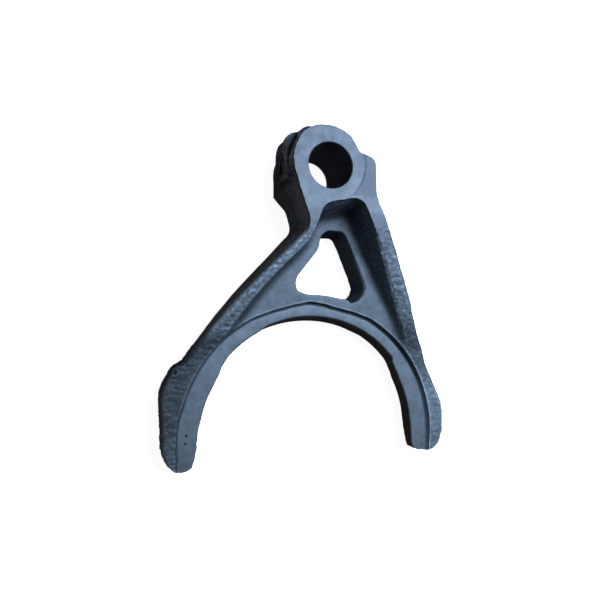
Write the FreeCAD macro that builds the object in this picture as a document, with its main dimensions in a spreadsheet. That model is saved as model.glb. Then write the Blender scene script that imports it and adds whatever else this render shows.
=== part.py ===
import FreeCAD, Part

import math
import os

import Sketcher

# Transmission shift fork: one drop forging of steel, machined at the hub, the jaw and the pads.
# Units are millimetres. The rail bore stands along +Z and the origin is on its axis,
# on the machined back end of the hub. The hub is towards +Y and the arms reach towards -Y.
# The dies met at the parting height, and the forged walls lean in from there.
# Left and right are as seen from the front, the side that the ribs stand on.

# name, value, meaning
SIZES = [
    # hub
    ("hub_length", 30.0, "length of the hub along the rail"),
    ("hub_radius", 14.3, "outside of the hub at its machined front face"),
    ("hub_shift_x", -0.9, "hub's outside, off the bore axis"),
    ("hub_shift_y", 1.6, "hub's outside, off the bore axis"),
    ("bore_radius", 9.05, "running bore for an 18 mm rail"),
    ("bore_chamfer", 0.3, "broken edge of the bore"),
    ("facing_stock", 16.0, "forged height that is faced off the hub, so the ribs run on past it"),
    # forging
    ("draft_angle", 5.0, "lean of the forged walls towards the front"),
    ("back_draft", 10.0, "lean of the forged walls towards the back"),
    ("hub_draft", 1.5, "lean of the walls of the hub and the screw lobe"),
    ("parting_height", 9.0, "height of the die parting above the back"),
    ("web_front", 15.5, "front level of the web and of the lips"),
    ("web_back", 2.5, "back level of the web and of the lips"),
    ("edge_round", 1.5, "rounding of the outer edges"),
    ("overrun", 20.0, "how far the cuts run past the forging"),
    # jaw
    ("arch_shift", -0.7, "jaw axis, to the side of the bore axis"),
    ("arch_reach", 106.9, "jaw axis, below the bore axis"),
    ("stock", 2.0, "metal left for machining inside the jaw"),
    ("pad_radius", 45.75, "machined inside of the two pads"),
    ("pad_front", 13.0, "front level of the machined pads"),
    ("pad_back", 4.8, "back level of the machined pads"),
    ("pad_end", 0.4, "lower ends of the pads, below the jaw axis"),
    ("pad_step", 0.1, "how far the tips stand back from the pads"),
    ("relief_depth", 1.2, "depth of the relief between the pads, at the back"),
    ("relief_draft", 8.0, "lean of the relieved wall"),
    ("relief_right", 39.5, "angle where the relief reaches its depth on the right"),
    ("relief_left", 141.0, "angle where the relief reaches its depth on the left"),
    ("relief_ramp", 9.0, "angle over which the pads run into the relief"),
    ("recess_width", 8.1, "width of the ring that is faced down to the pads"),
    # outline of the left side, from the hub down
    ("flank_x", -14.7, "where the left flank leaves the hub"),
    ("flank_y", -4.2, "where the left flank leaves the hub"),
    ("waist_x", -9.1, "notch between hub and left arm"),
    ("waist_y", -23.0, "notch between hub and left arm"),
    ("waist_round", 6.0, "rounding of that notch"),
    ("left_arm_share", 0.535, "where the left arm bows out, as a share of the way down it"),
    ("left_arm_bow", 2.3, "how far it bows out there"),
    ("left_arm_round", 200.0, "rounding of that bow"),
    ("left_notch_out", 7.1, "notch between left arm and lip, outside the pad bore"),
    ("left_notch_rise", 30.0, "notch between left arm and lip, above the jaw axis"),
    ("left_notch_round", 1.5, "rounding of that notch"),
    ("left_shoulder_out", 10.8, "shoulder of the left lip, outside the pad bore"),
    ("left_shoulder_rise", 28.5, "shoulder of the left lip, above the jaw axis"),
    ("left_shoulder_round", 5.0, "rounding of that shoulder"),
    ("left_lip_out", 15.8, "widest point of the left lip, outside the pad bore"),
    ("left_lip_rise", 18.4, "widest point of the left lip, above the jaw axis"),
    ("left_lip_round", 14.0, "rounding of the left lip"),
    ("left_tip_out", 13.4, "outer corner of the left tip, outside the pad bore"),
    ("left_tip_in", 1.0, "inner corner of the left tip, outside the pad bore"),
    ("left_tip_drop", 12.8, "end of the left tip, below the jaw axis"),
    ("left_tip_round", 5.8, "rounding of the left tip"),
    # outline of the right side, from the tip up
    ("right_tip_in", 0.9, "inner corner of the right tip, outside the pad bore"),
    ("right_tip_in_round", 7.6, "rounding of that corner"),
    ("right_tip_out", 15.0, "outer corner of the right tip, outside the pad bore"),
    ("right_tip_round", 6.2, "rounding of that corner"),
    ("right_tip_drop", 9.4, "end of the right tip, below the jaw axis"),
    ("right_lip_rise", 10.6, "widest point of the right lip, above the jaw axis"),
    ("right_lip_round", 18.0, "rounding of the right lip"),
    ("right_waist_out", 6.0, "hollow in the right lip, outside the pad bore"),
    ("right_waist_rise", 28.6, "hollow in the right lip, above the jaw axis"),
    ("right_waist_round", 20.0, "rounding of that hollow"),
    ("right_shoulder_out", 4.3, "shoulder of the right lip, outside the pad bore"),
    ("right_shoulder_rise", 35.7, "shoulder of the right lip, above the jaw axis"),
    ("right_shoulder_round", 10.0, "rounding of that shoulder"),
    ("right_notch_out", 1.4, "notch between right arm and lip, outside the pad bore"),
    ("right_notch_rise", 41.2, "notch between right arm and lip, above the jaw axis"),
    ("right_notch_round", 10.0, "rounding of that notch"),
    ("right_arm_share", 0.31, "where the right arm bows out, as a share of the way up it"),
    ("right_arm_bow", 1.0, "how far it bows out there"),
    ("right_arm_round", 150.0, "rounding of that bow"),
    # lug beside the hub
    ("lug_x", 21.4, "side of the lug"),
    ("lug_foot_y", -9.6, "where the lug runs into the right rib"),
    ("lug_foot_round", 10.0, "rounding there"),
    ("lug_top_y", 6.0, "upper corner of the lug"),
    ("lug_round", 5.6, "rounding of that corner"),
    ("lug_root_x", 7.7, "where the lug's top edge meets the hub"),
    ("lug_root_y", 10.0, "where the lug's top edge meets the hub"),
    ("lug_face_x", 13.7, "where the lower face of the lug begins"),
    ("lug_drop", 0.8, "lug face below the hub face"),
    # lobe and gusset that carry the locking screw
    ("lobe_front", 23.0, "front level of the lobe"),
    ("lobe_x", -16.5, "side of the lobe"),
    ("lobe_top_y", 14.1, "upper corner of the lobe"),
    ("lobe_top_round", 4.5, "rounding of that corner"),
    ("lobe_low_y", -5.2, "lower end of the lobe"),
    ("gusset_root_x", -6.0, "inner side of the gusset, inside the hub and the arm"),
    ("gusset_x", -16.1, "side of the gusset at the back"),
    ("gusset_low_y", -8.9, "lower corner of the gusset at the back"),
    ("gusset_toe_x", -8.1, "toe of the gusset at the back"),
    ("gusset_toe_y", -16.9, "toe of the gusset at the back"),
    ("gusset_face_x", -14.9, "side of the gusset at the front"),
    ("gusset_face_low_x", -12.7, "lower corner of the gusset at the front"),
    ("gusset_face_low_y", -8.5, "lower corner of the gusset at the front"),
    ("gusset_face_toe_x", -7.7, "toe of the gusset at the front"),
    ("gusset_face_toe_y", -21.5, "toe of the gusset at the front"),
    ("gusset_round", 2.5, "rounding of the lower corners"),
    ("screw_height", 15.2, "locking screw above the back"),
    ("screw_face_x", -16.1, "flat under the locking screw"),
    ("screw_face_radius", 5.8, "flat under the locking screw"),
    # ribs: the web pocket leaves them standing, and they fall towards the lips
    ("rib_start", 24.0, "where the ribs start to fall, below the bore axis"),
    ("rib_end_rise", 34.6, "where the ribs have sunk to the lips, above the jaw axis"),
    ("rib_blend", 14.0, "rounding where the ribs run out"),
    ("pocket_hub_left_x", -2.3, "left hub corner of the pocket"),
    ("pocket_hub_left_y", -15.1, "left hub corner of the pocket"),
    ("pocket_left_round", 5.0, "rounding of that corner"),
    ("pocket_hub_right_x", 13.4, "right hub corner of the pocket"),
    ("pocket_hub_right_y", -11.0, "right hub corner of the pocket"),
    ("pocket_right_round", 5.5, "rounding of that corner"),
    ("pocket_neck_x", -7.2, "bend of the left rib's inner side"),
    ("pocket_neck_y", -29.3, "bend of the left rib's inner side"),
    ("pocket_neck_round", 12.0, "rounding of that bend"),
    ("pocket_arm_share", 0.307, "where that side bows out, as a share of the way down it"),
    ("pocket_arm_bow", 2.6, "how far it bows out there"),
    ("pocket_arm_round", 150.0, "rounding of that bow"),
    ("pocket_end_out", 2.6, "lower ends of the pocket, outside the pad bore"),
    ("pocket_end_rise", 26.9, "lower end of the pocket, above the jaw axis"),
    ("floor_hub_run", 3.9, "how far the wall under the hub leans out"),
    ("floor_left_lean", 0.4, "how far the upper left wall leans out"),
    ("floor_lean_x", 1.0, "how far the wall of the left rib leans out"),
    ("floor_lean_y", 0.7, "how far the wall of the left rib leans out"),
    ("floor_end_lean", 1.5, "how far the walls lean out at the lower end"),
    ("foot_round", 3.5, "rounding at the foot of the ribs"),
    # window in the web
    ("window_top_y", -23.2, "upper end of the window"),
    ("window_left_x", 1.3, "upper left side of the window"),
    ("window_right_x", 11.9, "upper right corner of the window"),
    ("window_top_round", 4.6, "rounding of the upper corners"),
    ("window_bend_y", -30.4, "bend of the window's left side"),
    ("window_bend_round", 7.0, "rounding of that bend"),
    ("window_left_lean", 38.2, "lean of the window's left side, in degrees"),
    ("window_right_lean", 24.2, "lean of the window's right side, in degrees"),
    ("window_low_left_rise", 10.1, "lower left corner of the window, above the pad bore"),
    ("window_low_right_rise", 8.0, "lower right corner of the window, above the pad bore"),
    ("window_low_round", 6.4, "rounding of the lower corners"),
    ("window_draft", 6.5, "lean of the window's walls"),
]

# metric coarse thread of the locking screw
SCREW_SIZE = "M8x1.25"

# places that more than one outline uses: the sides and the top of the pad bore
LEFT = "(arch_shift - pad_radius)"
RIGHT = "(arch_shift + pad_radius)"
CROWN = "(pad_radius - arch_reach)"

# the rib's fall ends this far below the bore axis
RIB_END = "(arch_reach - rib_end_rise)"

# directions from the jaw axis to the corners of the rough opening, in degrees
STOCK_ANGLES = (176, 130, 90, 50, 4)

# upward share of a face's normal: more is a top face, less is a standing wall
TOP_FACE = 0.8
WALL_FACE = 0.5

# lengths closer than this are the same
NEAR = 0.001

SHEET = "Sizes"


def make_sheet(doc):
    sheet = doc.addObject("Spreadsheet::Sheet", SHEET)
    for row, (name, value, meaning) in enumerate(SIZES, start=1):
        sheet.set(f"A{row}", name)
        sheet.set(f"B{row}", str(value))
        sheet.set(f"C{row}", meaning)
        sheet.setAlias(f"B{row}", name)
    doc.recompute()


def size(doc, name):
    return getattr(doc.getObject(SHEET), name)


# Every word of the text that names a size is read from the sheet
def sized(text):
    words = {name for name, _, _ in SIZES}
    result = ""
    word = ""
    for letter in text + " ":
        if letter.isalnum() or letter == "_":
            word += letter
            continue
        result += f"{SHEET}.{word}" if word in words else word
        result += letter
        word = ""
    return result.strip()


def value_of(sketch, text):
    result = sketch.evalExpression(sized(text))
    return float(getattr(result, "Value", result))


def new_sketch(body, name, role, height=None):
    sketch = body.newObject("Sketcher::SketchObject", name)
    plane = next(feature for feature in body.Origin.OriginFeatures if feature.Role == role)
    sketch.AttachmentSupport = [(plane, "")]
    sketch.MapMode = "FlatFace"
    if height:
        sketch.setExpression("AttachmentOffset.Base.z", sized(height))
    return sketch


def bind(sketch, constraint, name, text):
    index = sketch.addConstraint(constraint)
    sketch.renameConstraint(index, name)
    sketch.setExpression(f"Constraints.{name}", sized(text))


def bind_point(sketch, name, item, place, x, y):
    across = Sketcher.Constraint("DistanceX", -1, 1, item, place, value_of(sketch, x))
    along = Sketcher.Constraint("DistanceY", -1, 1, item, place, value_of(sketch, y))
    bind(sketch, across, f"{name}_x", x)
    bind(sketch, along, f"{name}_y", y)


def between(first, last, share):
    return f"({first}) + (({last}) - ({first})) * {share}"


# Arc that rounds a corner, from the side that comes in to the side that goes out
def corner_arc(corner, back, ahead, radius):
    half = back.getAngle(ahead) / 2
    start = corner + back * (radius / math.tan(half))
    end = corner + ahead * (radius / math.tan(half))
    centre = corner + (back + ahead).normalize() * (radius / math.sin(half))
    turns_left = back.cross(ahead).z < 0
    first, last = (start, end) if turns_left else (end, start)
    first_angle = math.atan2(first.y - centre.y, first.x - centre.x)
    last_angle = math.atan2(last.y - centre.y, last.x - centre.x)
    if last_angle < first_angle:
        last_angle += 2 * math.pi
    circle = Part.Circle(centre, FreeCAD.Vector(0, 0, 1), radius)
    return start, end, Part.ArcOfCircle(circle, first_angle, last_angle), turns_left


# Closed outline of straight sides whose corners are placed and rounded by sizes.
# Each corner is a name, its x, its y and its radius, or no radius for a sharp corner.
def add_outline(sketch, corners):
    places = [FreeCAD.Vector(value_of(sketch, x), value_of(sketch, y), 0) for _, x, y, _ in corners]
    count = len(corners)
    starts, ends, arcs = [], [], []
    for index, (name, x, y, radius) in enumerate(corners):
        corner = places[index]
        start, end, arc, turns_left = corner, corner, None, None
        if radius:
            back = (places[index - 1] - corner).normalize()
            ahead = (places[(index + 1) % count] - corner).normalize()
            start, end, arc, turns_left = corner_arc(corner, back, ahead, value_of(sketch, radius))
        starts.append(start)
        ends.append(end)
        arcs.append((arc, turns_left))
    sides = []
    for index in range(count):
        side = Part.LineSegment(ends[index], starts[(index + 1) % count])
        sides.append(sketch.addGeometry(side))
    for index, (name, x, y, radius) in enumerate(corners):
        side_in, side_out = sides[index - 1], sides[index]
        if not radius:
            sketch.addConstraint(Sketcher.Constraint("Coincident", side_in, 2, side_out, 1))
            bind_point(sketch, name, side_out, 1, x, y)
            continue
        arc, turns_left = arcs[index]
        arc_id = sketch.addGeometry(arc)
        near, far = (1, 2) if turns_left else (2, 1)
        point = sketch.addGeometry(Part.Point(places[index]), True)
        sketch.addConstraint([
            Sketcher.Constraint("Tangent", side_in, 2, arc_id, near),
            Sketcher.Constraint("Tangent", side_out, 1, arc_id, far),
            Sketcher.Constraint("PointOnObject", point, 1, side_in),
            Sketcher.Constraint("PointOnObject", point, 1, side_out),
        ])
        rounding = Sketcher.Constraint("Radius", arc_id, value_of(sketch, radius))
        bind(sketch, rounding, f"{name}_radius", radius)
        bind_point(sketch, name, point, 1, x, y)


def add_circle(sketch, name, x, y, radius):
    centre = FreeCAD.Vector(value_of(sketch, x), value_of(sketch, y), 0)
    shape = Part.Circle(centre, FreeCAD.Vector(0, 0, 1), value_of(sketch, radius))
    circle = sketch.addGeometry(shape)
    bind(sketch, Sketcher.Constraint("Radius", circle, shape.Radius), f"{name}_radius", radius)
    bind_point(sketch, name, circle, 3, x, y)


# Forged block that grows from the parting height to the front and to the back
def forge(body, name, sketch, front, back, draft="draft_angle", back_draft="back_draft"):
    pad = body.newObject("PartDesign::Pad", name)
    pad.Profile = sketch
    pad.SideType = "Two sides"
    pad.setExpression("Length", sized(f"{front} - parting_height"))
    pad.setExpression("Length2", sized(f"parting_height - {back}"))
    pad.setExpression("TaperAngle", sized(f"-{draft}"))
    pad.setExpression("TaperAngle2", sized(f"-{back_draft}"))
    sketch.Visibility = False
    return pad


# Cut towards the back, or towards the front if reversed, through all or to a length
def cut(body, name, sketch, length=None, reverse=False, side="One side", taper=None):
    pocket = body.newObject("PartDesign::Pocket", name)
    pocket.Profile = sketch
    pocket.SideType = side
    pocket.Reversed = reverse
    pocket.Type = "Length" if length else "ThroughAll"
    if length:
        pocket.setExpression("Length", sized(length))
    if taper:
        pocket.setExpression("TaperAngle", sized(taper))
    sketch.Visibility = False
    return pocket


def loft_between(body, name, kind, first, last):
    loft = body.newObject(kind, name)
    loft.Profile = first
    loft.Sections = [last]
    loft.Ruled = True
    first.Visibility = False
    last.Visibility = False
    return loft


# Fillet or chamfer on the edges of a feature that a test picks
def dress(body, name, kind, base, wanted, prop, text):
    body.Document.recompute()
    edges = [f"Edge{i}" for i, edge in enumerate(base.Shape.Edges, start=1) if wanted(edge)]
    feature = body.newObject(kind, name)
    feature.Base = (base, edges)
    feature.setExpression(prop, sized(text))
    return feature


# Outline of the left side, from the hub down to the inside of the tip
def left_side():
    notch_x = f"{LEFT} - left_notch_out"
    notch_y = "left_notch_rise - arch_reach"
    arm_x = between("waist_x", notch_x, "left_arm_share") + " - left_arm_bow"
    arm_y = between("waist_y", notch_y, "left_arm_share")
    shoulder_y = "left_shoulder_rise - arch_reach"
    tip_y = "-arch_reach - left_tip_drop"
    return [
        ("flank", "flank_x", "flank_y", None),
        ("waist", "waist_x", "waist_y", "waist_round"),
        ("left_arm", arm_x, arm_y, "left_arm_round"),
        ("left_notch", notch_x, notch_y, "left_notch_round"),
        ("left_shoulder", f"{LEFT} - left_shoulder_out", shoulder_y, "left_shoulder_round"),
        ("left_lip", f"{LEFT} - left_lip_out", "left_lip_rise - arch_reach", "left_lip_round"),
        ("left_outer", f"{LEFT} - left_tip_out", tip_y, "left_tip_round"),
        ("left_inner", f"{LEFT} - left_tip_in", tip_y, "left_tip_round"),
        ("left_pad_end", f"{LEFT} - pad_step", "-arch_reach - pad_end", None),
        ("left_stock", f"{LEFT} + stock", "-arch_reach - pad_end", None),
    ]


# The forged jaw, before it is bored
def rough_opening():
    corners = []
    for angle in STOCK_ANGLES:
        x = f"arch_shift + (pad_radius - stock) * cos({angle} deg)"
        y = f"(pad_radius - stock) * sin({angle} deg) - arch_reach"
        corners.append((f"stock_{angle}", x, y, None))
    return corners


# Outline of the right side, from the inside of the tip up to the hub
def right_side():
    lip_x = f"{RIGHT} + right_tip_out"
    tip_y = "-arch_reach - right_tip_drop"
    waist_y = "right_waist_rise - arch_reach"
    shoulder_y = "right_shoulder_rise - arch_reach"
    notch_x = f"{RIGHT} + right_notch_out"
    notch_y = "right_notch_rise - arch_reach"
    arm_x = between(notch_x, "lug_x", "right_arm_share") + " + right_arm_bow"
    arm_y = between(notch_y, "lug_foot_y", "right_arm_share")
    return [
        ("right_stock", f"{RIGHT} - stock", "-arch_reach - pad_end", None),
        ("right_pad_end", f"{RIGHT} + pad_step", "-arch_reach - pad_end", None),
        ("right_inner", f"{RIGHT} + right_tip_in", tip_y, "right_tip_in_round"),
        ("right_outer", lip_x, tip_y, "right_tip_round"),
        ("right_lip", lip_x, "right_lip_rise - arch_reach", "right_lip_round"),
        ("right_waist", f"{RIGHT} + right_waist_out", waist_y, "right_waist_round"),
        ("right_shoulder", f"{RIGHT} + right_shoulder_out", shoulder_y, "right_shoulder_round"),
        ("right_notch", notch_x, notch_y, "right_notch_round"),
        ("right_arm", arm_x, arm_y, "right_arm_round"),
        ("lug_foot", "lug_x", "lug_foot_y", "lug_foot_round"),
        ("lug_corner", "lug_x", "lug_top_y", "lug_round"),
        ("lug_root", "lug_root_x", "lug_root_y", None),
    ]


# Arms, lips and lug in one outline, with stock left inside the jaw
def make_arms(body):
    sketch = new_sketch(body, "ArmsOutline", "XY_Plane", "parting_height")
    add_outline(sketch, left_side() + rough_opening() + right_side())
    return forge(body, "Arms", sketch, "hub_length + facing_stock", "web_back")


# Pocket between the ribs: it leans out from its floor, most of all under the hub
def make_web_pocket(body):
    end_left = f"{LEFT} - pocket_end_out"
    end_right = f"{RIGHT} + pocket_end_out"
    end_y = "pocket_end_rise - arch_reach"
    arm_x = between("pocket_neck_x", end_left, "pocket_arm_share") + " - pocket_arm_bow"
    arm_y = between("pocket_neck_y", end_y, "pocket_arm_share")
    floor = new_sketch(body, "PocketFloor", "XY_Plane", "web_front")
    floor_left = "pocket_hub_left_x + floor_left_lean"
    neck_x = "pocket_neck_x + floor_lean_x"
    neck_y = "pocket_neck_y - floor_lean_y"
    add_outline(floor, [
        ("hub_left", floor_left, "pocket_hub_left_y - floor_hub_run", "pocket_left_round"),
        ("neck", neck_x, neck_y, "pocket_neck_round"),
        ("arm", f"{arm_x} + floor_lean_x", f"{arm_y} - floor_lean_y", "pocket_arm_round"),
        ("end_left", f"{end_left} + floor_end_lean", end_y, None),
        ("end_right", f"{end_right} - floor_end_lean", end_y, None),
        ("hub_right", "pocket_hub_right_x", "pocket_hub_right_y - floor_hub_run", "pocket_right_round"),
    ])
    top = new_sketch(body, "PocketTop", "XY_Plane", "hub_length")
    add_outline(top, [
        ("hub_left", "pocket_hub_left_x", "pocket_hub_left_y", "pocket_left_round"),
        ("neck", "pocket_neck_x", "pocket_neck_y", "pocket_neck_round"),
        ("arm", arm_x, arm_y, "pocket_arm_round"),
        ("end_left", end_left, end_y, None),
        ("end_right", end_right, end_y, None),
        ("hub_right", "pocket_hub_right_x", "pocket_hub_right_y", "pocket_right_round"),
    ])
    return loft_between(body, "WebPocket", "PartDesign::SubtractiveLoft", floor, top)


def round_pocket_foot(body, pocket):
    level = size(body.Document, "web_front")

    def at_foot(edge):
        if abs(edge.BoundBox.ZMin - level) > NEAR or abs(edge.BoundBox.ZMax - level) > NEAR:
            return False
        boxes = [face.BoundBox for face in pocket.Shape.ancestorsOfType(edge, Part.Face)]
        return any(box.ZMin > level - NEAR and box.ZMax > level + NEAR for box in boxes)

    return dress(body, "PocketFoot", "PartDesign::Fillet", pocket, at_foot, "Radius", "foot_round")


# Seen from the side, everything above the falling ribs is cut off
def make_rib_fall(body):
    sketch = new_sketch(body, "RibFall", "YZ_Plane")
    run = f"(facing_stock * ({RIB_END} - rib_start) / (hub_length - web_front))"
    add_outline(sketch, [
        ("fall", f"{run} - rib_start", "hub_length + facing_stock", None),
        ("beyond_hub", "arch_reach", "hub_length + facing_stock", None),
        ("above_hub", "arch_reach", "hub_length + overrun", None),
        ("above_tips", "-arch_reach - overrun", "hub_length + overrun", None),
        ("beyond_tips", "-arch_reach - overrun", "web_front", None),
        ("run_out", f"-{RIB_END}", "web_front", "rib_blend"),
    ])
    return cut(body, "RibFallCut", sketch, "2 * arch_reach", side="Symmetric")


# The forging is rounded all round its outer edges before it is machined
def round_outer_edges(body, base):
    doc = body.Document
    run_out = size(doc, "rib_end_rise") - size(doc, "arch_reach")
    middle = FreeCAD.Vector(size(doc, "arch_shift"), run_out, 0)
    lowest = size(doc, "web_front") - NEAR

    def is_outer(edge):
        point = edge.valueAt((edge.FirstParameter + edge.LastParameter) / 2)
        if point.z < lowest:
            return False
        outward = FreeCAD.Vector(point.x - middle.x, point.y - middle.y, 0)
        normals = []
        for face in base.Shape.ancestorsOfType(edge, Part.Face):
            normals.append(face.normalAt(*face.Surface.parameter(point)))
        meets_top = any(normal.z > TOP_FACE for normal in normals)
        walls = [normal for normal in normals if abs(normal.z) < WALL_FACE]
        return meets_top and any(wall.dot(outward) > 0 for wall in walls)

    return dress(body, "OuterRound", "PartDesign::Fillet", base, is_outer, "Radius", "edge_round")


def face_hub(body):
    sketch = new_sketch(body, "HubFace", "XY_Plane", "hub_length")
    add_circle(sketch, "face", "0", "0", RIB_END)
    return cut(body, "HubFaceCut", sketch, reverse=True)


def make_hub(body):
    sketch = new_sketch(body, "HubOutline", "XY_Plane", "parting_height")
    grown = "hub_radius + (hub_length - parting_height) * tan(hub_draft * 1 deg)"
    add_circle(sketch, "hub", "hub_shift_x", "hub_shift_y", grown)
    return forge(body, "Hub", sketch, "hub_length", "0", "hub_draft", "hub_draft")


def make_lobe(body):
    sketch = new_sketch(body, "LobeOutline", "XY_Plane", "parting_height")
    add_outline(sketch, [
        ("inner", "hub_shift_x", "lobe_top_y", None),
        ("top", "lobe_x", "lobe_top_y", "lobe_top_round"),
        ("low", "lobe_x", "lobe_low_y", None),
        ("base", "hub_shift_x", "lobe_low_y", None),
    ])
    return forge(body, "Lobe", sketch, "lobe_front", "web_back", "hub_draft")


# Leaning wall that carries the hub and its lobe over into the left arm
def make_gusset(body):
    back = new_sketch(body, "GussetBack", "XY_Plane", "web_back")
    add_outline(back, [
        ("inner", "gusset_root_x", "hub_shift_y", None),
        ("side", "gusset_x", "hub_shift_y", None),
        ("low", "gusset_x", "gusset_low_y", "gusset_round"),
        ("toe", "gusset_toe_x", "gusset_toe_y", None),
        ("base", "gusset_root_x", "gusset_toe_y", None),
    ])
    front = new_sketch(body, "GussetFront", "XY_Plane", "hub_length")
    add_outline(front, [
        ("inner", "gusset_root_x", "hub_shift_y", None),
        ("side", "gusset_face_x", "hub_shift_y", None),
        ("low", "gusset_face_low_x", "gusset_face_low_y", "gusset_round"),
        ("toe", "gusset_face_toe_x", "gusset_face_toe_y", None),
        ("base", "gusset_root_x", "gusset_face_toe_y", None),
    ])
    return loft_between(body, "Gusset", "PartDesign::AdditiveLoft", back, front)


# Three-cornered window that lightens the web
def make_window(body):
    sketch = new_sketch(body, "WindowOutline", "XY_Plane", "web_front")
    left_y = f"({CROWN} + window_low_left_rise)"
    left_x = f"window_left_x - (window_bend_y - {left_y}) * tan(window_left_lean * 1 deg)"
    right_y = f"({CROWN} + window_low_right_rise)"
    right_x = f"window_right_x + (window_top_y - {right_y}) * tan(window_right_lean * 1 deg)"
    low_round = f"min(window_low_round; (window_bend_y - {left_y}) / 3)"
    add_outline(sketch, [
        ("top_left", "window_left_x", "window_top_y", "window_top_round"),
        ("bend", "window_left_x", "window_bend_y", "window_bend_round"),
        ("low_left", left_x, left_y, low_round),
        ("low_right", right_x, right_y, low_round),
        ("top_right", "window_right_x", "window_top_y", "window_top_round"),
    ])
    return cut(body, "Window", sketch, "web_front", taper="-window_draft")


# Both pads are bored round the jaw axis. The crown between them is relieved by a leaning wall
# that starts at the back of the pads, and the pads run into it on short ramps.
def machine_jaw(body):
    bore = new_sketch(body, "PadBore", "XY_Plane")
    add_circle(bore, "pad", "arch_shift", "-arch_reach", "pad_radius")
    cut(body, "PadBoreCut", bore, reverse=True)
    radius = "pad_radius + relief_depth"
    relief = new_sketch(body, "ReliefOutline", "XY_Plane", "pad_back")
    add_sector(relief, "arch_shift", "-arch_reach", radius, "relief_right", "relief_left")
    cut(body, "Relief", relief, "hub_length", reverse=True, taper="relief_draft")
    ramps = new_sketch(body, "RampOutline", "XY_Plane")
    corners = [("ramp_middle", "arch_shift", "-arch_reach", None)]
    for name, reach, angle in [
        ("right_start", "pad_radius", "relief_right - relief_ramp"),
        ("right_end", radius, "relief_right"),
        ("left_end", radius, "relief_left"),
        ("left_start", "pad_radius", "relief_left + relief_ramp"),
    ]:
        x = f"arch_shift + ({reach}) * cos(({angle}) * 1 deg)"
        y = f"({reach}) * sin(({angle}) * 1 deg) - arch_reach"
        corners.append((name, x, y, None))
    add_outline(ramps, corners)
    return cut(body, "Ramps", ramps, reverse=True)


def add_sector(sketch, x, y, radius, first, last):
    centre = FreeCAD.Vector(value_of(sketch, x), value_of(sketch, y), 0)
    start = math.radians(value_of(sketch, first))
    end = math.radians(value_of(sketch, last))
    circle = Part.Circle(centre, FreeCAD.Vector(0, 0, 1), value_of(sketch, radius))
    rim = Part.ArcOfCircle(circle, start, end)
    arc = sketch.addGeometry(rim)
    right = sketch.addGeometry(Part.LineSegment(centre, rim.StartPoint))
    left = sketch.addGeometry(Part.LineSegment(rim.EndPoint, centre))
    sketch.addConstraint([
        Sketcher.Constraint("Coincident", right, 2, arc, 1),
        Sketcher.Constraint("Coincident", arc, 2, left, 1),
        Sketcher.Constraint("Coincident", left, 2, right, 1),
        Sketcher.Constraint("Coincident", arc, 3, right, 1),
    ])
    bind(sketch, Sketcher.Constraint("Radius", arc, circle.Radius), "sector_radius", radius)
    bind_point(sketch, "sector", right, 1, x, y)
    bind(sketch, Sketcher.Constraint("Angle", right, start), "sector_start", f"{first} * 1 deg")
    span = Sketcher.Constraint("Angle", right, 1, left, 2, end - start)
    bind(sketch, span, "sector_span", f"({last} - {first}) * 1 deg")


# A ring round the jaw is faced down on both sides, which leaves the lips standing
def face_pads(body):
    radius = "pad_radius + recess_width"
    front = new_sketch(body, "FrontRing", "XY_Plane", "pad_front")
    add_circle(front, "ring", "arch_shift", "-arch_reach", radius)
    cut(body, "FrontRingCut", front, reverse=True)
    back = new_sketch(body, "BackRing", "XY_Plane", "pad_back")
    add_circle(back, "ring", "arch_shift", "-arch_reach", radius)
    return cut(body, "BackRingCut", back)


def face_lug(body):
    sketch = new_sketch(body, "LugFace", "XY_Plane", "hub_length")
    add_outline(sketch, [
        ("inner_low", "lug_face_x", "lug_foot_y", None),
        ("outer_low", "lug_x + overrun", "lug_foot_y", None),
        ("outer_top", "lug_x + overrun", "lug_root_y", None),
        ("inner_top", "lug_face_x", "lug_root_y", None),
    ])
    return cut(body, "LugFaceCut", sketch, "lug_drop")


# Tapped hole from the flat on the lobe into the rail bore
def make_screw_hole(body):
    face = new_sketch(body, "ScrewFace", "YZ_Plane", "screw_face_x")
    add_circle(face, "flat", "hub_shift_y", "screw_height", "screw_face_radius")
    cut(body, "ScrewFaceCut", face)
    centre = new_sketch(body, "ScrewCentre", "YZ_Plane", "screw_face_x")
    add_circle(centre, "screw", "hub_shift_y", "screw_height", "screw_face_radius")
    body.Document.recompute()
    hole = body.newObject("PartDesign::Hole", "ScrewHole")
    hole.Profile = centre
    hole.Reversed = True
    hole.Threaded = True
    hole.ThreadType = "ISOMetricProfile"
    hole.ThreadSize = SCREW_SIZE
    hole.DepthType = "Dimension"
    hole.setExpression("Depth", sized("-screw_face_x"))
    centre.Visibility = False
    return hole


def make_rail_bore(body):
    sketch = new_sketch(body, "BoreOutline", "XY_Plane")
    add_circle(sketch, "bore", "0", "0", "bore_radius")
    bore = cut(body, "Bore", sketch, reverse=True)
    radius = size(body.Document, "bore_radius")

    def is_rim(edge):
        if not isinstance(edge.Curve, Part.Circle):
            return False
        along_rail = abs(edge.Curve.Axis.z) > TOP_FACE
        return along_rail and abs(edge.Curve.Radius - radius) < NEAR

    return dress(body, "BoreChamfer", "PartDesign::Chamfer", bore, is_rim, "Size", "bore_chamfer")


def make_fork(doc):
    body = doc.addObject("PartDesign::Body", "shift_fork")
    body.Label = "shift_fork"
    body.Placement = FreeCAD.Placement()
    make_arms(body)
    pocket = make_web_pocket(body)
    round_pocket_foot(body, pocket)
    fall = make_rib_fall(body)
    round_outer_edges(body, fall)
    face_hub(body)
    make_hub(body)
    make_lobe(body)
    make_gusset(body)
    make_window(body)
    machine_jaw(body)
    face_pads(body)
    face_lug(body)
    make_screw_hole(body)
    make_rail_bore(body)
    return body


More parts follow.
